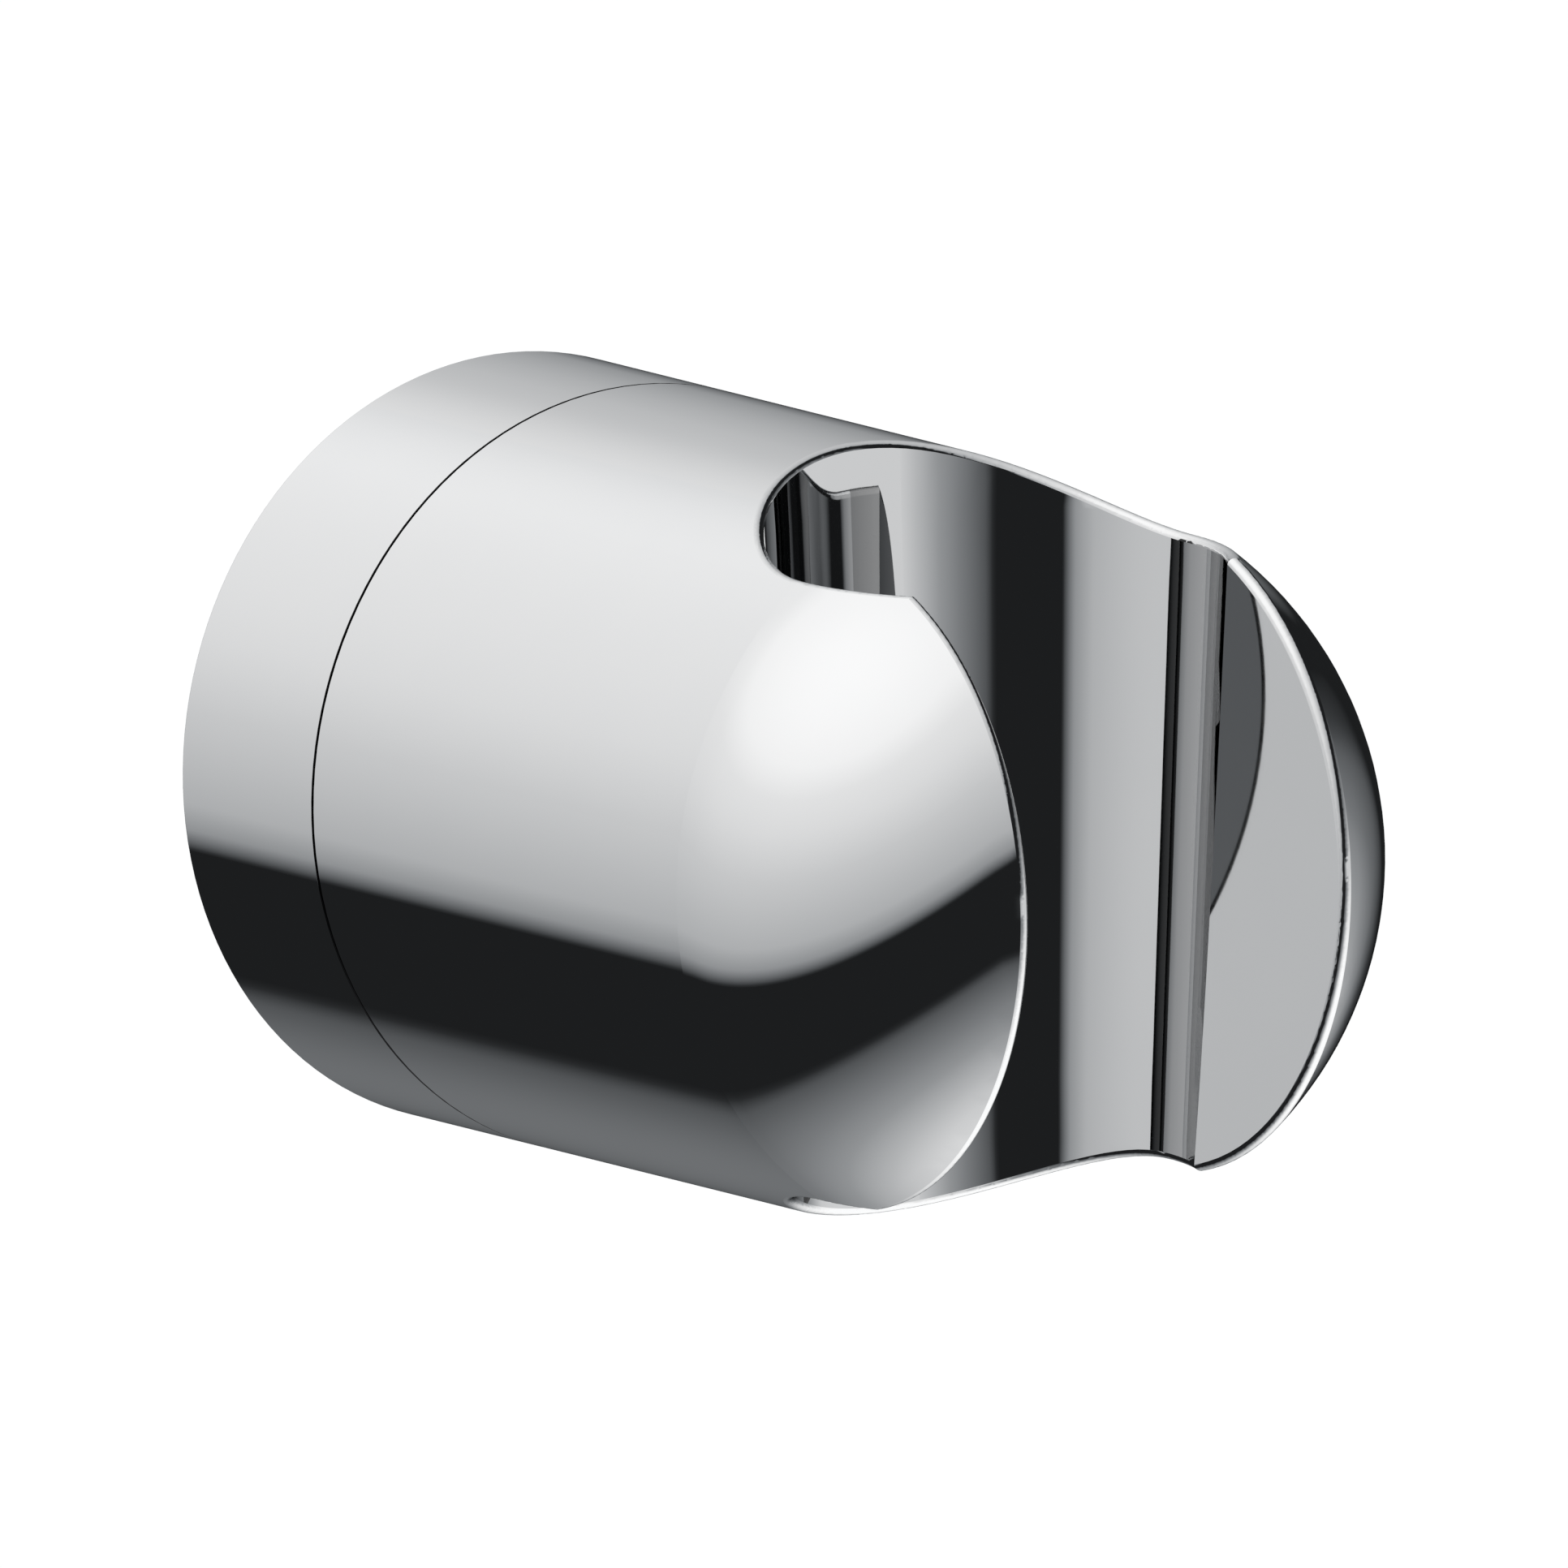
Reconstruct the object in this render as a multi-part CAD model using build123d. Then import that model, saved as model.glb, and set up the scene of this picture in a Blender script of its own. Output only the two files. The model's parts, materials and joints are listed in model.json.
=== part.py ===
from build123d import *
from math import radians, tan
import os

# Wall-mounted hand shower holder: a fixed base, and a domed head that swivels on it.
# Millimetres and degrees. Depths are measured out from the wall, along -Y, and +Z is up.

# Outside form
BODY_DIAMETER = 40.0
SEAT_REACH = 44.6  # wall to the seat's axis, which passes through the dome's centre
WALL_EDGE = 0.1  # round on the edge against the wall
PARTING_GAP = 0.12  # open line between base and head
PARTING_EDGE = 0.06  # round on both edges of that line

# Seat for the conical nut of a handset or hose, open to the front through a slot
SEAT_DIAMETER = 22.4  # at mid height
SEAT_TAPER = 2.55  # half angle of the cone, wider at the top
SEAT_LIP = 0.55  # how far each cheek of the slot stands inside the seat's narrow end
RIM_RADIUS = 0.38  # round where the seat and the slot meet the outside

# Cored back of the holder body
SHELL_WALL = 3.0
SEAT_WALL = 3.4  # metal left behind the seat
CORE_DRAFT = 1.0
BOSS_DIAMETER = 13.0
RIB_THICKNESS = 2.2
RIB_SETBACK = 0.6
RIB_COUNT = 4

# Swivel pivot, from the wall side outwards
HEAD_GAP = 0.5  # between the wall plate and the screw's head
HEAD_DIAMETER = 10.0
HEAD_HEIGHT = 2.6
HEAD_CHAMFER = 0.4
HEAD_SOCKET = 4.0  # across flats
HEAD_SOCKET_DEPTH = 1.6
SHOULDER_DIAMETER = 8.0
THREAD_DIAMETER = 6.0
THREAD_LENGTH = 9.0
THREAD_CHAMFER = 0.6
THREAD_RUNOUT = 1.5  # of the tapped hole, past the screw's end
WASHER_DIAMETER = 15.0
WASHER_THICKNESS = 0.8
SPRING_HEIGHT = 1.0
SPRING_THICKNESS = 0.5
FLANGE_DIAMETER = 17.0
FLANGE_THICKNESS = 1.0
BUSH_WALL = 2.0

# Base ring
SLEEVE_WALL = 2.2
WEB_THICKNESS = 3.0

# Slide ring, in a groove of the base ring's front face
SLIDE_INSET = 1.2  # from the outside of the ring
SLIDE_MARGIN = 0.2  # from the inner edge of the head's rim
SLIDE_GROOVE = 1.0

# Swivel stop: a lug on the head runs in a curved slot of the base ring's web
SWIVEL_RANGE = 45.0  # each way
STOP_ANGLE = 11.0
STOP_WIDTH = 3.0
STOP_LAND = 2.0  # web left outside the slot
STOP_SETBACK = 0.4  # lug's end inside the web's back face

# Wall plate
PLATE_THICKNESS = 2.8
PLATE_RIM_WALL = 4.0
PLATE_RIM_GAP = 0.5  # rim to the base ring's web
PLATE_CHAMFER = 0.4
WALL_SCREW_SPACING = 19.0
WALL_SCREW_HOLE = 4.6
GROOVE_DEPTH = 1.2  # square V round the rim, for the grub screw's point

# Grub screw, upwards through the bottom of the base ring
GRUB_DIAMETER = 4.0
GRUB_POINT = 0.6  # radius of the flat on its point
GRUB_RECESS = 0.5  # below the outside of the ring
GRUB_SOCKET = 2.0  # across flats
GRUB_SOCKET_DEPTH = 1.4

# Clearances
RUNNING_CLEARANCE = 0.05  # shaft in bush, per side
SEATED_CLEARANCE = 0.02  # pieces that touch
LOOSE_CLEARANCE = 0.15  # plate in ring, washers on shoulder, per side
STOP_CLEARANCE = 0.2  # lug in slot, per side
STOP_CLEARANCE_ANGLE = 0.3

# Radii
body_radius = BODY_DIAMETER / 2
sleeve_radius = body_radius - SLEEVE_WALL
plate_radius = sleeve_radius - LOOSE_CLEARANCE
plate_pocket_radius = plate_radius - PLATE_RIM_WALL
core_radius = body_radius - SHELL_WALL
slide_outer_radius = body_radius - SLIDE_INSET
slide_inner_radius = core_radius + SLIDE_MARGIN
shoulder_radius = SHOULDER_DIAMETER / 2
thread_radius = THREAD_DIAMETER / 2
washer_hole_radius = shoulder_radius + LOOSE_CLEARANCE
bush_inner_radius = shoulder_radius + RUNNING_CLEARANCE
bush_outer_radius = bush_inner_radius + BUSH_WALL
web_hole_radius = bush_outer_radius + SEATED_CLEARANCE
stop_slot_radius = slide_inner_radius - STOP_LAND
stop_outer_radius = stop_slot_radius - STOP_CLEARANCE
stop_inner_radius = stop_outer_radius - STOP_WIDTH
grub_radius = GRUB_DIAMETER / 2

# Depths, one piece after another from the wall to the head
head_back = PLATE_THICKNESS + HEAD_GAP
head_front = head_back + HEAD_HEIGHT
washer_front = head_front + WASHER_THICKNESS
spring_front = washer_front + SPRING_HEIGHT
web_back = spring_front + FLANGE_THICKNESS
web_front = web_back + WEB_THICKNESS
body_back = web_front + PARTING_GAP
thread_end = body_back + THREAD_LENGTH
plate_rim_front = web_back - PLATE_RIM_GAP
grub_depth = (PLATE_THICKNESS + plate_rim_front) / 2

# Seat and slot
seat_slope = tan(radians(SEAT_TAPER))
seat_large_radius = SEAT_DIAMETER / 2 + body_radius * seat_slope
seat_small_radius = SEAT_DIAMETER / 2 - body_radius * seat_slope
slot_width = 2 * (seat_small_radius - SEAT_LIP)
core_floor = SEAT_REACH - seat_large_radius - SEAT_WALL

# Sketches on this plane, below the swivel axis, have the radius along x and the depth along y
AXIAL = Plane(origin=(0, 0, 0), x_dir=(0, 0, -1), z_dir=(-1, 0, 0))
TOLERANCE = 0.001
EDGE_SAMPLES = (0.25, 0.5, 0.75)  # places along an edge, as shares of its length


def turned(*corners):
    """Solid of revolution about the swivel axis, from its (radius, depth) corners."""
    return revolve(AXIAL * make_face(Polyline(*corners, close=True)), Axis.Y)


def washer(inner_radius, outer_radius, back, front):
    """Plain ring about the swivel axis."""
    return turned(
        (inner_radius, back),
        (outer_radius, back),
        (outer_radius, front),
        (inner_radius, front),
    )


def sector(inner_radius, outer_radius, back, front, angle):
    """Part of a plain ring about the swivel axis, centred at the top."""
    section = Polyline(
        (inner_radius, back),
        (outer_radius, back),
        (outer_radius, front),
        (inner_radius, front),
        close=True,
    )
    piece = revolve(AXIAL * make_face(section), Axis.Y, angle)
    return Rot(0, 180 - angle / 2, 0) * piece


def facing_out(depth):
    """Plane across the swivel axis, with its normal away from the wall."""
    return Plane(origin=(0, -depth, 0), x_dir=(1, 0, 0), z_dir=(0, -1, 0))


def hex_socket(across_flats, depth):
    """Prism that cuts a hexagon socket, from its mouth along +Z."""
    return extrude(RegularPolygon(across_flats / 2, 6, major_radius=False), depth)


def is_outer_circle(edge):
    """True for a circle, or part of one, as large as the outside."""
    return edge.geom_type == GeomType.CIRCLE and abs(edge.radius - body_radius) < TOLERANCE


def outer_rims(solid):
    """Circles round the outside cylinder, from the front to the wall."""
    return solid.edges().filter_by(is_outer_circle).sort_by(Axis.Y)


def is_seat_rim(edge):
    """True where the seat or the slot leaves the outside cylinder or the dome."""
    if edge.geom_type == GeomType.LINE or is_outer_circle(edge):
        return False
    for point in edge.positions(EDGE_SAMPLES):
        nearest_on_axis = Vector(0, max(point.Y, -SEAT_REACH), 0)
        if abs((point - nearest_on_axis).length - body_radius) > TOLERANCE:
            return False
    return True


def seat_and_slot():
    """Cone through the body, wider at the top, with a parallel slot out of the front."""
    height = 2 * body_radius
    cone = Cone(seat_small_radius, seat_large_radius, height, rotation=(0, 0, -90))
    slot = Box(slot_width, height, height, align=(Align.CENTER, Align.MAX, Align.CENTER))
    return Pos(0, -SEAT_REACH, 0) * (cone + slot)


def body_core():
    """Hollow behind the seat: a drafted ring round the boss, with ribs left standing."""
    draft = (core_floor - body_back) * tan(radians(CORE_DRAFT))
    boss_radius = BOSS_DIAMETER / 2
    hollow = turned(
        (boss_radius, body_back),
        (core_radius, body_back),
        (core_radius - draft, core_floor),
        (boss_radius + draft, core_floor),
    )
    rib_height = core_floor - body_back - RIB_SETBACK
    rib_foot = Rectangle(core_radius, RIB_THICKNESS, align=(Align.MIN, Align.CENTER))
    rib = extrude(facing_out(core_floor) * rib_foot, -rib_height)
    for index in range(RIB_COUNT):
        hollow -= Rot(0, index * 360 / RIB_COUNT - 90, 0) * rib
    return hollow


def holder_body():
    """Casting: cylinder and dome, with the seat, the cored back and the stop lug."""
    outline = Polyline((0, SEAT_REACH), (0, body_back), (body_radius, body_back), (body_radius, SEAT_REACH))
    dome = CenterArc((0, SEAT_REACH), body_radius, 0, 90)
    nose = Line((0, SEAT_REACH + body_radius), (0, SEAT_REACH))
    blank = revolve(AXIAL * make_face([outline, dome, nose]), Axis.Y)
    body = blank - seat_and_slot()
    body = fillet(body.edges().filter_by(is_seat_rim), RIM_RADIUS)
    body = fillet(outer_rims(body)[-1], PARTING_EDGE)
    body -= body_core()
    body += sector(stop_inner_radius, stop_outer_radius, web_back + STOP_SETBACK, core_floor, STOP_ANGLE)
    tapped_radius = thread_radius + SEATED_CLEARANCE
    body -= washer(0, tapped_radius, body_back, thread_end + THREAD_RUNOUT)
    return body


def base_ring():
    """Sleeve with a web at its front, which carries the pivot and the stop slot."""
    ring = turned(
        (sleeve_radius, 0),
        (body_radius, 0),
        (body_radius, web_front),
        (slide_outer_radius, web_front),
        (slide_outer_radius, web_front - SLIDE_GROOVE),
        (slide_inner_radius, web_front - SLIDE_GROOVE),
        (slide_inner_radius, web_front),
        (web_hole_radius, web_front),
        (web_hole_radius, web_back),
        (sleeve_radius, web_back),
    )
    ring = fillet(outer_rims(ring)[0], PARTING_EDGE)
    ring = fillet(outer_rims(ring)[-1], WALL_EDGE)
    slot_angle = 2 * (SWIVEL_RANGE + STOP_CLEARANCE_ANGLE) + STOP_ANGLE
    slot_inner_radius = stop_inner_radius - STOP_CLEARANCE
    ring -= sector(slot_inner_radius, stop_slot_radius, web_back, web_front, slot_angle)
    tapped_radius = grub_radius + SEATED_CLEARANCE
    hole = Cylinder(tapped_radius, body_radius, align=(Align.CENTER, Align.CENTER, Align.MAX))
    return ring - Pos(0, -grub_depth, 0) * hole


def wall_plate():
    """Plate with a raised rim, screwed to the wall inside the base ring."""
    plate = turned(
        (0, 0),
        (plate_radius, 0),
        (plate_radius, grub_depth - GROOVE_DEPTH),
        (plate_radius - GROOVE_DEPTH, grub_depth),
        (plate_radius, grub_depth + GROOVE_DEPTH),
        (plate_radius, plate_rim_front - PLATE_CHAMFER),
        (plate_radius - PLATE_CHAMFER, plate_rim_front),
        (plate_pocket_radius, plate_rim_front),
        (plate_pocket_radius, PLATE_THICKNESS),
        (0, PLATE_THICKNESS),
    )
    for side in (-1, 1):
        hole = facing_out(0) * Pos(side * WALL_SCREW_SPACING / 2, 0) * Circle(WALL_SCREW_HOLE / 2)
        plate -= extrude(hole, PLATE_THICKNESS)
    return plate


def grub_screw():
    """Headless socket screw, with its point in the wall plate's groove."""
    point = plate_radius - GROOVE_DEPTH + GRUB_POINT + RUNNING_CLEARANCE
    end = body_radius - GRUB_RECESS
    profile = Polyline(
        (0, -end),
        (grub_radius, -end),
        (grub_radius, -point - grub_radius + GRUB_POINT),
        (GRUB_POINT, -point),
        (0, -point),
        close=True,
    )
    screw = revolve(Plane.XZ * make_face(profile), Axis.Z)
    screw -= Pos(0, 0, -end) * hex_socket(GRUB_SOCKET, GRUB_SOCKET_DEPTH)
    return Pos(0, -grub_depth, 0) * screw


def slide_ring():
    """Plain bearing ring that stands proud of its groove and carries the head's rim."""
    return washer(
        slide_inner_radius + SEATED_CLEARANCE,
        slide_outer_radius - SEATED_CLEARANCE,
        web_front - SLIDE_GROOVE,
        body_back - SEATED_CLEARANCE,
    )


def pivot_bush():
    """Flanged plain bush in the base ring's web."""
    return turned(
        (bush_inner_radius, spring_front),
        (FLANGE_DIAMETER / 2, spring_front),
        (FLANGE_DIAMETER / 2, web_back),
        (bush_outer_radius, web_back),
        (bush_outer_radius, web_front),
        (bush_inner_radius, web_front),
    )


def pivot_screw():
    """Shoulder screw: head on the wall side, thread in the holder body's boss."""
    head_radius = HEAD_DIAMETER / 2
    screw = turned(
        (0, head_back),
        (head_radius - HEAD_CHAMFER, head_back),
        (head_radius, head_back + HEAD_CHAMFER),
        (head_radius, head_front),
        (shoulder_radius, head_front),
        (shoulder_radius, body_back),
        (thread_radius, body_back),
        (thread_radius, thread_end - THREAD_CHAMFER),
        (thread_radius - THREAD_CHAMFER, thread_end),
        (0, thread_end),
    )
    return screw - facing_out(head_back) * hex_socket(HEAD_SOCKET, HEAD_SOCKET_DEPTH)


def disc_spring():
    """Conical spring washer between the thrust washer and the bush's flange."""
    rise = SPRING_HEIGHT - SPRING_THICKNESS - 2 * SEATED_CLEARANCE
    outer_back = washer_front + SEATED_CLEARANCE
    inner_back = outer_back + rise
    return turned(
        (washer_hole_radius, inner_back),
        (WASHER_DIAMETER / 2, outer_back),
        (WASHER_DIAMETER / 2, outer_back + SPRING_THICKNESS),
        (washer_hole_radius, inner_back + SPRING_THICKNESS),
    )


def thrust_washer():
    """Steel washer under the pivot screw's head."""
    return washer(washer_hole_radius, WASHER_DIAMETER / 2, head_front, washer_front)


PIECES = (
    wall_plate,
    base_ring,
    grub_screw,
    slide_ring,
    pivot_bush,
    holder_body,
    pivot_screw,
    disc_spring,
    thrust_washer,
)

os.makedirs("parts", exist_ok=True)
for piece in PIECES:
    export_step(piece(), f"parts/{piece.__name__}.step")
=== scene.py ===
"""Hand shower holder: finishes, studio and camera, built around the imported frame. Metres, +Z up."""

import json
import math

import bpy
from mathutils import Matrix, Vector


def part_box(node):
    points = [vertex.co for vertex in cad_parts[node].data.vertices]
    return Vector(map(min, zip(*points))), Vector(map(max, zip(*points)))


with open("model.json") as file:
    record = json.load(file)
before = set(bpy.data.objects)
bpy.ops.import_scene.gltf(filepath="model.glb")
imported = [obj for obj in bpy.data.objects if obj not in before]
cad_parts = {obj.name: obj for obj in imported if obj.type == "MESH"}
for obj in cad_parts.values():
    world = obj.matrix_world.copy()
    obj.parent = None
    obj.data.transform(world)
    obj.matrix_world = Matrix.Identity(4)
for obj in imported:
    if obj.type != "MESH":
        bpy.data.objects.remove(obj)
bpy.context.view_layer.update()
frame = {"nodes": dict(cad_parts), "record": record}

WHITE = (1, 1, 1, 1)
BLACK = (0, 0, 0, 1)

# Camera: a parallel view from the front left, a little above
VIEW_DIRECTION = Vector((0.5611, 0.8096, -0.1724))
VIEW_CENTRE = Vector((0.0, -0.02546, 0.00116))
VIEW_WIDTH = 0.08059
CAMERA_DISTANCE = 0.6
CAMERA_REACH = 100.0

# Sky: tones by height along a tilted axis. Greys are cooler the darker they are
LIGHT_AXIS = Vector((-0.527, 0.272, 0.805)).normalized()
SKY_TONES = (
    (-1.0, 0.6),
    (-0.25, 0.52),
    (0.2, 0.44),
    (0.3, 0.443),
    (0.42, 0.516),
    (0.55, 0.596),
    (0.7, 0.726),
    (0.8, 0.79),
    (0.88, 0.92),
    (1.0, 1.0),
)
COOLNESS = 0.06

# Soft glow over the wall: its middle, its tone and the power of its falloff
GLOW_AXIS = Vector((0.148, 0.812, 0.565)).normalized()
GLOW_TONE = 0.163
GLOW_POWER = 18

# Soft lamp, which shines down the light axis
LAMP_STRENGTH = 1.0
LAMP_ANGLE = math.radians(60)

# Floor, as far below the holder as such a holder is fixed above one
FLOOR_DROP = 1.9
FLOOR_SIDE = 30.0
FLOOR_TONE = 0.9
FLOOR_ROUGHNESS = 1.0
FLOOR_TOP_UP = 0.18

# Card round the holder: tones by height along the light axis, up to where the sky takes over
CARD_RADIUS = 1.85
CARD_BLACK = 0.013
CARD_TONES = (
    (-0.9, 1.0),
    (-0.8, 0.846),
    (-0.7, 0.678),
    (-0.6, 0.475),
    (-0.5, 0.304),
    (-0.4, 0.205),
    (-0.32, 0.14),
    (-0.26, 0.09),
    (-0.22, 0.022),
    (-0.2, CARD_BLACK),
    (0.16, CARD_BLACK),
    (0.22, 0.296),
    (0.3, 0.443),
)
CARD_TOP = 0.54
CARD_ROWS = 200
CARD_COLUMNS = 480

# Pale strip on the card in front of the holder: tones by bearing, and where its edges fade, in degrees
STRIP_TONES = (
    (-31.0, CARD_BLACK),
    (-25.0, 0.13),
    (-19.0, 0.19),
    (-10.0, 0.31),
    (0.0, 0.49),
    (10.0, 0.62),
    (76.0, 0.62),
    (94.0, CARD_BLACK),
)
STRIP_FOOT = (-8.5, -6.5)
STRIP_TOP = (-3.0, 0.0)

# Pale patch on the card behind the holder: its middle, where it fades, in degrees from there, and its tones
# by height
PATCH_AXIS = Vector((0.56, 0.81, 0.12)).normalized()
PATCH_FADE = (14.0, 24.0)
PATCH_TONES = (
    (-0.2, CARD_BLACK),
    (-0.11, 0.19),
    (-0.04, 0.31),
    (0.07, 0.385),
    (0.15, 0.43),
    (0.25, 0.469),
    (0.31, 0.488),
    (0.42, 0.516),
)

# Dark part of the card on the far side: how much of the tone is left by bearing, where it deepens by height,
# and where it ends below, in degrees
SHADE_SHARES = (
    (84.0, 1.0),
    (98.0, 0.63),
    (106.0, 0.54),
    (116.0, 0.44),
    (122.0, 0.32),
    (129.0, 0.14),
    (140.0, 0.14),
    (145.0, 1.0),
)
SHADE_EDGE = (-0.41, -0.32)
SHADE_FOOT = (-30.0, -14.0)

# Finishes: dark and light colour, lowest and highest roughness, and the size and detail of the marks
METAL = 1.0
PLASTIC = 0.0
CHROME_COLOURS = ((0.946, 0.949, 0.953), (0.952, 0.954, 0.957))
CHROME_ROUGHNESS = (0.012, 0.028)
CHROME_CLOUDS = (0.004, 2.0)
STEEL_COLOURS = ((0.47, 0.47, 0.46), (0.63, 0.63, 0.62))
STEEL_ROUGHNESS = (0.22, 0.42)
STEEL_RINGS = (0.00012, 3.0)
BEARING_COLOURS = ((0.022, 0.022, 0.023), (0.04, 0.04, 0.04))
BEARING_ROUGHNESS = (0.32, 0.46)
BEARING_GRAIN = (0.0004, 4.0)
PLATE_COLOURS = ((0.31, 0.32, 0.33), (0.37, 0.38, 0.39))
PLATE_ROUGHNESS = (0.5, 0.68)
PLATE_GRAIN = (0.00025, 5.0)

# Marks: where they turn from dark to light, and their relief
MARK_RANGE = (0.3, 0.7)
MARK_HEIGHT = 0.00001
MARK_STRENGTH = 0.5

# Directions across the swivel's axis and across an upright axis, and a place on the swivel's axis
ACROSS_Y = Vector((1, 0, 1))
ACROSS_Z = Vector((1, 1, 0))
SWIVEL_CENTRE = Vector((0, 0, 0))

# Places on the holder, from the frame: the seat's axis, the base ring's front and the holder's radius
SEAT_Y = next(mount["pos_m"][1] for mount in frame["record"]["mounts"] if mount["name"] == "handset_seat")
RING_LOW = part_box("base_ring")[0]
RING_FRONT = RING_LOW.y
BODY_RADIUS = -RING_LOW.z

# Parting line, with painted shade on its two rounded edges: the gap, how far to each side of its middle and
# how deep the painted shade reaches, and its colour
JOINT_GAP = 0.00012
JOINT_HALF = 0.00011
JOINT_RADIUS = BODY_RADIUS - 0.0002
JOINT_SHADE_COLOUR = (0.03, 0.03, 0.031, 1)

# Reflections of the head in itself: the places where they change, in from the skin, along from the seat's
# axis or the parting line, and to the side from the middle
SKIN_RADIUS = BODY_RADIUS - 0.0004
HOLLOW_RADIUS = BODY_RADIUS - 0.0012
HOLLOW_FRONT = SEAT_Y + 0.0131
LOBE_BACK = SEAT_Y - 0.0019
HEAD_BACK = RING_FRONT - JOINT_GAP - 0.00007
NEAR_SIDE = 0.0
LEAN_SIDE = 0.0022
MIDDLE_SIDE = 0.0032

# How far walls lean in reflections, the share of painted shade, a black mix, that reflections show on them,
# and the depth under which a ray was reflected only once
SEAT_LEAN = math.radians(9.3)
BACK_LEAN = math.radians(11.8)
LOBE_REFLECTION_SHADE = 0.6
SEAT_REFLECTION_SHADE = 0.36
MIDDLE_REFLECTION_SHADE = 0.91
MIDDLE_SHADE_DEPTH = 1.5


def tinted(tone):
    """A grey that is cooler the darker it is."""
    cool = COOLNESS * (1 - min(tone, 1)) ** 2
    return (tone * (1 - cool), tone, tone * (1 + cool), 1)


class Nodes:
    """A node tree with short ways to add nodes and links."""

    def __init__(self, owner):
        owner.use_nodes = True
        self.tree = owner.node_tree
        self.tree.nodes.clear()

    def add(self, kind, **settings):
        node = self.tree.nodes.new(kind)
        for name, value in settings.items():
            setattr(node, name, value)
        return node

    def link(self, source, target):
        self.tree.links.new(source, target)

    def math(self, operation, first, second):
        """Works out a number from two sockets, or from a socket and a number."""
        node = self.add("ShaderNodeMath", operation=operation)
        self.link(first, node.inputs[0])
        if isinstance(second, (int, float)):
            node.inputs[1].default_value = second
        else:
            self.link(second, node.inputs[1])
        return node.outputs["Value"]

    def times(self, first, second):
        return self.math("MULTIPLY", first, second)

    def larger(self, first, second):
        return self.math("MAXIMUM", first, second)

    def below(self, value, limit):
        return self.math("LESS_THAN", value, limit)

    def above(self, value, limit):
        return self.math("GREATER_THAN", value, limit)

    def vector(self, operation, first, second):
        """The same for vectors. Gives the node, as some operations end in a number."""
        node = self.add("ShaderNodeVectorMath", operation=operation)
        self.link(first, node.inputs[0])
        if isinstance(second, Vector):
            node.inputs[1].default_value = second
        else:
            self.link(second, node.inputs[1])
        return node

    def distance_across(self, place, across):
        """How far a place is from an axis, given the two directions across it."""
        node = self.add("ShaderNodeVectorMath", operation="LENGTH")
        self.link(self.vector("MULTIPLY", place, across).outputs["Vector"], node.inputs[0])
        return node.outputs["Value"]

    def apart(self, vector):
        """The three numbers of a vector, by name."""
        node = self.add("ShaderNodeSeparateXYZ")
        self.link(vector, node.inputs["Vector"])
        return node.outputs

    def ramp(self, factor, stops):
        """A colour ramp over factors from 0 to 1."""
        node = self.add("ShaderNodeValToRGB")
        elements = node.color_ramp.elements
        elements[0].position = stops[0][0]
        elements[1].position = stops[-1][0]
        for position, _ in stops[1:-1]:
            elements.new(position)
        for element, (_, colour) in zip(elements, stops):
            element.color = colour
        self.link(factor, node.inputs["Fac"])
        return node.outputs["Color"]

    def signed_ramp(self, value, stops):
        """A ramp of greys over values from -1 to 1."""
        scaled = self.add("ShaderNodeMapRange")
        scaled.inputs["From Min"].default_value = -1.0
        self.link(value, scaled.inputs["Value"])
        return self.ramp(scaled.outputs["Result"], [((x + 1) / 2, tinted(tone)) for x, tone in stops])

    def mix(self, factor, first, second):
        """One shader that turns into another."""
        node = self.add("ShaderNodeMixShader")
        self.link(factor, node.inputs["Fac"])
        self.link(first, node.inputs[1])
        self.link(second, node.inputs[2])
        return node.outputs["Shader"]

    def mix_to_colour(self, factor, first, colour):
        """A colour socket that turns into one fixed colour."""
        node = self.add("ShaderNodeMix", data_type="RGBA")
        self.link(factor, node.inputs["Factor"])
        self.link(first, node.inputs["A"])
        node.inputs["B"].default_value = colour
        return node.outputs["Result"]

    def rescaled(self, value, limits):
        """A value from 0 to 1 brought between two limits."""
        node = self.add("ShaderNodeMapRange")
        self.link(value, node.inputs["Value"])
        node.inputs["To Min"].default_value = limits[0]
        node.inputs["To Max"].default_value = limits[1]
        return node.outputs["Result"]


def new_material(name):
    """A material with no nodes but its output. Gives the material, its nodes and the output's socket."""
    material = bpy.data.materials.new(name)
    nodes = Nodes(material)
    return material, nodes, nodes.add("ShaderNodeOutputMaterial").inputs["Surface"]


def coat(nodes, metallic, colours, roughness, marks, bumpy, joint_shade=None):
    """A shader whose colour and roughness follow its marks, a function that adds them to the nodes."""
    shader = nodes.add("ShaderNodeBsdfPrincipled")
    shader.inputs["Metallic"].default_value = metallic
    place = nodes.add("ShaderNodeTexCoord").outputs["Object"]
    pattern = marks(nodes, place)
    colour = nodes.ramp(pattern, [(x, (*shade, 1)) for x, shade in zip(MARK_RANGE, colours)])
    # Painted shade on the edges of the parting line, where the coat has it
    if joint_shade:
        colour = joint_shade(nodes, place, colour)
    nodes.link(colour, shader.inputs["Base Color"])
    nodes.link(nodes.rescaled(pattern, roughness), shader.inputs["Roughness"])
    if bumpy:
        bump = nodes.add("ShaderNodeBump")
        bump.inputs["Strength"].default_value = MARK_STRENGTH
        bump.inputs["Distance"].default_value = MARK_HEIGHT
        nodes.link(pattern, bump.inputs["Height"])
        nodes.link(bump.outputs["Normal"], shader.inputs["Normal"])
    return shader


def finish(name, *coat_values):
    """A material that is one coat all over."""
    material, nodes, surface = new_material(name)
    nodes.link(coat(nodes, *coat_values).outputs["BSDF"], surface)
    return material


def clouds(size, detail):
    """Marks that are soft patches of about a size."""

    def marks(nodes, place):
        noise = nodes.add("ShaderNodeTexNoise")
        noise.inputs["Scale"].default_value = 1 / size
        noise.inputs["Detail"].default_value = detail
        nodes.link(place, noise.inputs["Vector"])
        return noise.outputs["Fac"]

    return marks


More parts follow.
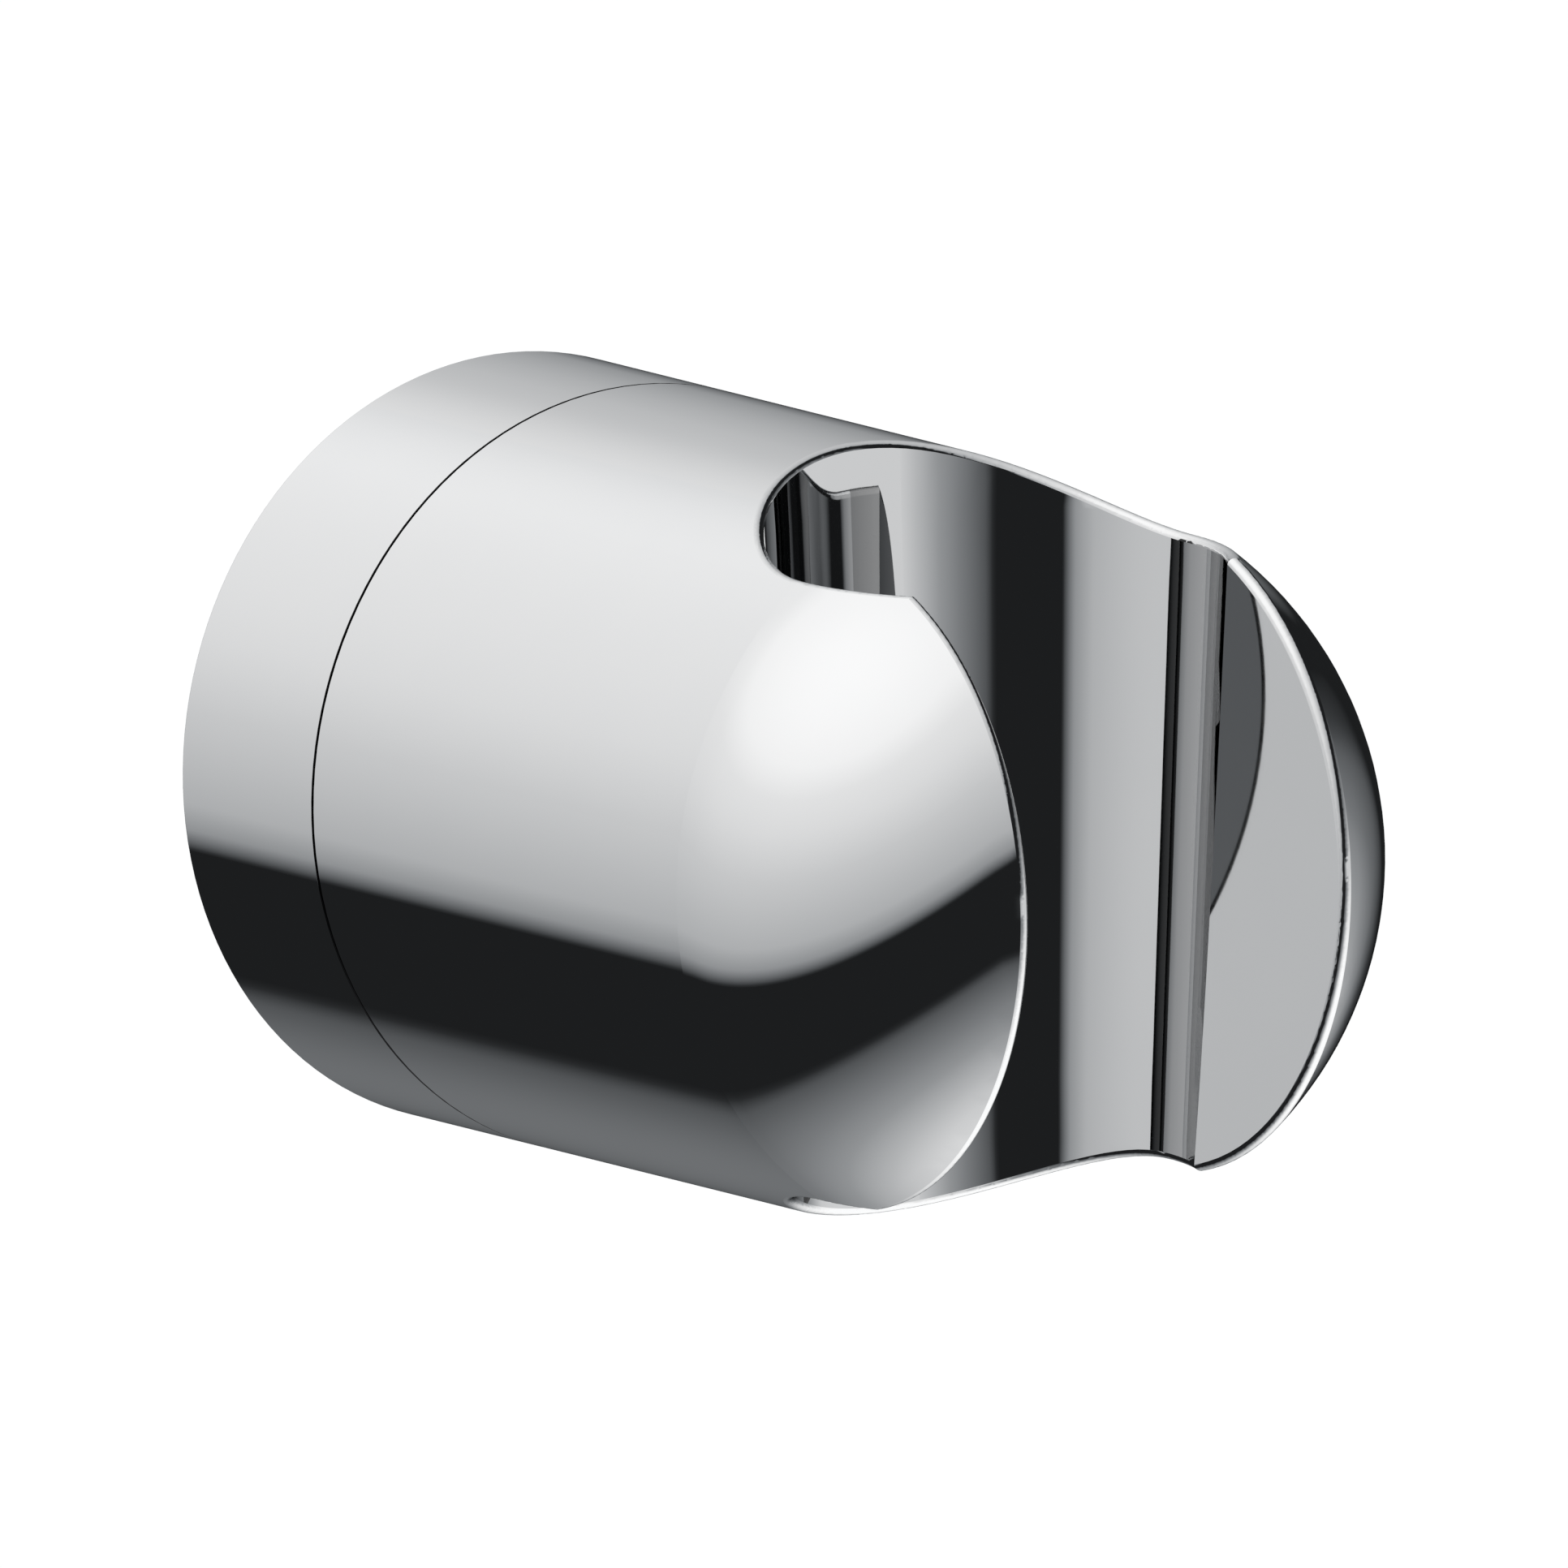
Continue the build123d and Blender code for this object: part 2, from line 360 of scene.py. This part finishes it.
def turned_rings(size, detail, across, centre):
    """Marks that are fine rings round a piece's own axis, as turning leaves them."""

    def marks(nodes, place):
        offset = nodes.vector("SUBTRACT", place, centre).outputs["Vector"]
        noise = nodes.add("ShaderNodeTexNoise", noise_dimensions="1D")
        noise.inputs["Scale"].default_value = 1 / size
        noise.inputs["Detail"].default_value = detail
        nodes.link(nodes.distance_across(offset, across), noise.inputs["W"])
        return noise.outputs["Fac"]

    return marks


def painted_joint_shade(nodes, place, colour):
    """A colour that goes dark on the two rounded edges of the parting line: painted shade in the gap between
    the parts.
    """
    line = nodes.add("ShaderNodeMath", operation="COMPARE")
    nodes.link(nodes.apart(place)["Y"], line.inputs[0])
    line.inputs[1].default_value = RING_FRONT - JOINT_GAP / 2
    line.inputs[2].default_value = JOINT_HALF
    outer = nodes.above(nodes.distance_across(place, ACROSS_Y), JOINT_RADIUS)
    return nodes.mix_to_colour(nodes.times(line.outputs["Value"], outer), colour, JOINT_SHADE_COLOUR)


def chrome_coat():
    return METAL, CHROME_COLOURS, CHROME_ROUGHNESS, clouds(*CHROME_CLOUDS), False, painted_joint_shade


def chrome():
    return finish("chrome", *chrome_coat())


def seat_share(nodes, place, along):
    """1 on the far side's walls within the head's outer skin, such as the seat's, and 0 elsewhere."""
    nearest = nodes.add("ShaderNodeCombineXYZ")
    nodes.link(nodes.larger(along["Y"], SEAT_Y), nearest.inputs["Y"])
    depth = nodes.vector("DISTANCE", place, nearest.outputs["Vector"]).outputs["Value"]
    return nodes.times(nodes.below(depth, SKIN_RADIUS), nodes.above(along["X"], LEAN_SIDE))


def leaned(nodes, along, seat):
    """The direction that the surface reflects by, leaned down on the seat's wall and on the head's back."""
    back = nodes.above(along["Y"], HEAD_BACK)
    angle = nodes.math("ADD", nodes.times(seat, SEAT_LEAN), nodes.times(back, BACK_LEAN))
    turned = nodes.add("ShaderNodeVectorRotate", rotation_type="X_AXIS")
    nodes.link(nodes.add("ShaderNodeTexCoord").outputs["Normal"], turned.inputs["Vector"])
    nodes.link(angle, turned.inputs["Angle"])
    placed = nodes.add("ShaderNodeVectorTransform", vector_type="NORMAL")
    placed.convert_from = "OBJECT"
    placed.convert_to = "WORLD"
    nodes.link(turned.outputs["Vector"], placed.inputs["Vector"])
    return placed.outputs["Vector"]


def left_out(nodes, place, along):
    """1 on what reflections leave out: the near half, the hollow and inner sides, but not the back face."""
    hollow = nodes.below(nodes.distance_across(place, ACROSS_Y), HOLLOW_RADIUS)
    hollow = nodes.times(hollow, nodes.above(along["Y"], HOLLOW_FRONT))
    hollow = nodes.larger(hollow, nodes.add("ShaderNodeNewGeometry").outputs["Backfacing"])
    out = nodes.larger(hollow, nodes.below(along["X"], NEAR_SIDE))
    return nodes.times(out, nodes.below(along["Y"], HEAD_BACK))


def painted_reflection_shade(nodes, along, seat, path):
    """Painted shade in reflections: the black share that reflections show on the lobes, on the seat's wall
    and, if reflected only once, on its middle.
    """
    lobes = nodes.times(nodes.below(along["Y"], LOBE_BACK), LOBE_REFLECTION_SHADE)
    shade_share = nodes.larger(lobes, nodes.times(seat, SEAT_REFLECTION_SHADE))
    middle_wall = nodes.times(nodes.below(along["X"], MIDDLE_SIDE), nodes.below(along["Y"], HOLLOW_FRONT))
    middle_wall = nodes.times(middle_wall, nodes.below(path["Ray Depth"], MIDDLE_SHADE_DEPTH))
    return nodes.larger(shade_share, nodes.times(middle_wall, MIDDLE_REFLECTION_SHADE))


def holder_chrome():
    """Chrome that leaves parts of the head out of its own reflections, so the seat shows clean bands, and
    shows the lobes and the seat's wall darker in reflections, a painted shade.
    """
    material, nodes, surface = new_material("holder_chrome")
    place = nodes.add("ShaderNodeTexCoord").outputs["Object"]
    along = nodes.apart(place)
    path = nodes.add("ShaderNodeLightPath").outputs
    seat = seat_share(nodes, place, along)
    shader = coat(nodes, *chrome_coat())
    nodes.link(leaned(nodes, along, seat), shader.inputs["Normal"])
    # Black mixed into what reflections show of this chrome: painted shade
    shade_black = nodes.add("ShaderNodeBsdfDiffuse")
    shade_black.inputs["Color"].default_value = BLACK
    clear = nodes.add("ShaderNodeBsdfTransparent")
    shade_share = painted_reflection_shade(nodes, along, seat, path)
    mirrored = nodes.mix(shade_share, shader.outputs["BSDF"], shade_black.outputs["BSDF"])
    mirrored = nodes.mix(left_out(nodes, place, along), mirrored, clear.outputs["BSDF"])
    nodes.link(nodes.mix(path["Is Glossy Ray"], shader.outputs["BSDF"], mirrored), surface)
    return material


def bearing_plastic():
    grain = clouds(*BEARING_GRAIN)
    return finish("bearing_plastic", PLASTIC, BEARING_COLOURS, BEARING_ROUGHNESS, grain, True)


def plate_plastic():
    grain = clouds(*PLATE_GRAIN)
    return finish("plate_plastic", PLASTIC, PLATE_COLOURS, PLATE_ROUGHNESS, grain, True)


def turned_steel(name, across, centre):
    rings = turned_rings(*STEEL_RINGS, across, centre)
    return finish(name, METAL, STEEL_COLOURS, STEEL_ROUGHNESS, rings, True)


def middle(node):
    low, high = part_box(node)
    return (Vector(low) + Vector(high)) / 2


def dress():
    """Gives each piece its slot's finish. Steel has rings round the swivel, the grub screw round itself."""
    finishes = {
        "chrome": chrome(),
        "steel": turned_steel("swivel_steel", ACROSS_Y, SWIVEL_CENTRE),
        "bearing_plastic": bearing_plastic(),
        "plate_plastic": plate_plastic(),
    }
    own_finishes = {
        "grub_screw": turned_steel("grub_steel", ACROSS_Z, middle("grub_screw")),
        "holder_body": holder_chrome(),
    }
    for subpart in frame["record"]["subparts"]:
        name = subpart["node"]
        slot = subpart["material_slot"]
        node = frame["nodes"][name]
        node.visible_glossy = slot == "chrome"
        node.data.materials.clear()
        node.data.materials.append(own_finishes.get(name, finishes[slot]))


def glow_nodes(nodes, direction):
    facing = nodes.vector("DOT_PRODUCT", direction, GLOW_AXIS).outputs["Value"]
    falloff = nodes.math("POWER", nodes.larger(facing, 0.0), GLOW_POWER)
    return nodes.times(falloff, GLOW_TONE)


def studio_world():
    """The sky of the studio. The camera itself sees plain white behind the holder."""
    world = bpy.data.worlds.new("studio")
    bpy.context.scene.world = world
    nodes = Nodes(world)
    output = nodes.add("ShaderNodeOutputWorld")
    background = nodes.add("ShaderNodeBackground")
    direction = nodes.add("ShaderNodeTexCoord").outputs["Generated"]
    height = nodes.vector("DOT_PRODUCT", direction, LIGHT_AXIS).outputs["Value"]
    sky = nodes.signed_ramp(height, SKY_TONES)
    lit = nodes.vector("ADD", sky, glow_nodes(nodes, direction)).outputs["Vector"]
    camera_ray = nodes.add("ShaderNodeLightPath").outputs["Is Camera Ray"]
    nodes.link(nodes.mix_to_colour(camera_ray, lit, WHITE), background.inputs["Color"])
    nodes.link(background.outputs["Background"], output.inputs["Surface"])


def floor_material():
    """A pale floor, topped up to white for the camera and in reflections."""
    material, nodes, surface = new_material("pale_floor")
    shader = nodes.add("ShaderNodeBsdfPrincipled")
    shader.inputs["Base Color"].default_value = (FLOOR_TONE, FLOOR_TONE, FLOOR_TONE, 1)
    shader.inputs["Roughness"].default_value = FLOOR_ROUGHNESS
    shader.inputs["Emission Color"].default_value = WHITE
    path = nodes.add("ShaderNodeLightPath").outputs
    seen = nodes.math("ADD", path["Is Camera Ray"], path["Is Glossy Ray"])
    seen = nodes.math("ADD", seen, path["Is Transmission Ray"])
    nodes.link(nodes.times(seen, FLOOR_TOP_UP), shader.inputs["Emission Strength"])
    nodes.link(shader.outputs["BSDF"], surface)
    return material


def add_stage(name, vertices, faces, material):
    """A mesh that belongs to the studio and not to the holder."""
    mesh = bpy.data.meshes.new(name)
    mesh.from_pydata(vertices, [], faces)
    mesh.update()
    mesh.materials.append(material)
    thing = bpy.data.objects.new(name, mesh)
    bpy.context.scene.collection.objects.link(thing)
    return thing


def floor():
    half = FLOOR_SIDE / 2
    corners = [(-half, -half, 0), (half, -half, 0), (half, half, 0), (-half, half, 0)]
    plane = add_stage("floor", corners, [(0, 1, 2, 3)], floor_material())
    plane.location.z = -FLOOR_DROP


def interpolated(value, stops):
    for (x0, y0), (x1, y1) in zip(stops, stops[1:]):
        if value <= x1:
            return y0 + (y1 - y0) * (max(value, x0) - x0) / (x1 - x0)
    return stops[-1][1]


def step(value, low, high):
    """Rises smoothly from 0 to 1 between two limits."""
    share = min(max((value - low) / (high - low), 0.0), 1.0)
    return share * share * (3 - 2 * share)


def bearings(direction):
    """Degrees round from straight out of the wall, positive to the right, and degrees above level."""
    return math.degrees(math.atan2(direction.x, -direction.y)), math.degrees(math.asin(direction.z))


def card_tone(direction):
    """The card's tone in a direction: by height, then with the shade, the strip, the patch and the glow."""
    height = direction.dot(LIGHT_AXIS)
    tone = interpolated(height, CARD_TONES if height < CARD_TONES[-1][0] else SKY_TONES)
    around, above = bearings(direction)
    if SHADE_SHARES[0][0] < around < SHADE_SHARES[-1][0] and height < CARD_TONES[-2][0]:
        left = interpolated(around, SHADE_SHARES)
        left *= 1 - step(height, *SHADE_EDGE) * (1 - left)
        tone *= 1 - (1 - left) * step(above, *SHADE_FOOT)
    if STRIP_TONES[0][0] < around < STRIP_TONES[-1][0]:
        share = step(above, *STRIP_FOOT) * (1 - step(above, *STRIP_TOP))
        tone += max(interpolated(around, STRIP_TONES) - tone, 0) * share
    share = 1 - step(math.degrees(direction.angle(PATCH_AXIS)), *PATCH_FADE)
    tone += max(interpolated(height, PATCH_TONES) - tone, 0) * share
    return max(tone, CARD_BLACK) + GLOW_TONE * max(direction.dot(GLOW_AXIS), 0) ** GLOW_POWER


def card_material():
    material, nodes, surface = new_material("toned_card")
    material.cycles.emission_sampling = "NONE"
    light = nodes.add("ShaderNodeEmission")
    tone = nodes.add("ShaderNodeAttribute", attribute_name="tone")
    nodes.link(tone.outputs["Color"], light.inputs["Color"])
    nodes.link(light.outputs["Emission"], surface)
    return material


def card_directions():
    """Directions from the holder to the card's points, row by row up the light axis."""
    turn = LIGHT_AXIS.to_track_quat("Z", "Y")
    low = math.asin(CARD_TONES[0][0])
    high = math.asin(CARD_TOP)
    directions = []
    for j in range(CARD_ROWS + 1):
        height = low + (high - low) * j / CARD_ROWS
        level = math.cos(height)
        for i in range(CARD_COLUMNS):
            angle = 2 * math.pi * i / CARD_COLUMNS
            point = Vector((level * math.cos(angle), level * math.sin(angle), math.sin(height)))
            directions.append(turn @ point)
    return directions


def card():
    """A band all round the holder, each point with a tone of its own. Only reflections show it."""
    directions = card_directions()
    points = [VIEW_CENTRE + direction * CARD_RADIUS for direction in directions]
    faces = []
    for start in range(0, CARD_ROWS * CARD_COLUMNS, CARD_COLUMNS):
        for i in range(CARD_COLUMNS):
            k = (i + 1) % CARD_COLUMNS
            faces.append((start + i, start + k, start + CARD_COLUMNS + k, start + CARD_COLUMNS + i))
    sheet = add_stage("toned_card", points, faces, card_material())
    colours = [channel for direction in directions for channel in tinted(card_tone(direction))]
    attribute = sheet.data.attributes.new("tone", "FLOAT_COLOR", "POINT")
    attribute.data.foreach_set("color", colours)
    sheet.visible_camera = False
    sheet.visible_diffuse = False
    sheet.visible_shadow = False


def lamp():
    light = bpy.data.lights.new("soft_lamp", "SUN")
    light.energy = LAMP_STRENGTH
    light.angle = LAMP_ANGLE
    holder = bpy.data.objects.new("soft_lamp", light)
    holder.rotation_euler = LIGHT_AXIS.to_track_quat("Z", "Y").to_euler()
    holder.visible_glossy = False
    bpy.context.scene.collection.objects.link(holder)


def camera():
    data = bpy.data.cameras.new("camera")
    data.type = "ORTHO"
    data.ortho_scale = VIEW_WIDTH
    data.clip_end = CAMERA_REACH
    eye = bpy.data.objects.new("camera", data)
    forward = VIEW_DIRECTION.normalized()
    right = forward.cross(Vector((0, 0, 1))).normalized()
    up = right.cross(forward)
    turn = Matrix((right, up, -forward)).transposed().to_4x4()
    eye.matrix_world = Matrix.Translation(VIEW_CENTRE - forward * CAMERA_DISTANCE) @ turn
    bpy.context.scene.collection.objects.link(eye)
    bpy.context.scene.camera = eye


def studio():
    studio_world()
    floor()
    card()
    lamp()
    camera()


bpy.context.scene.view_settings.view_transform = "Standard"
dress()
studio()
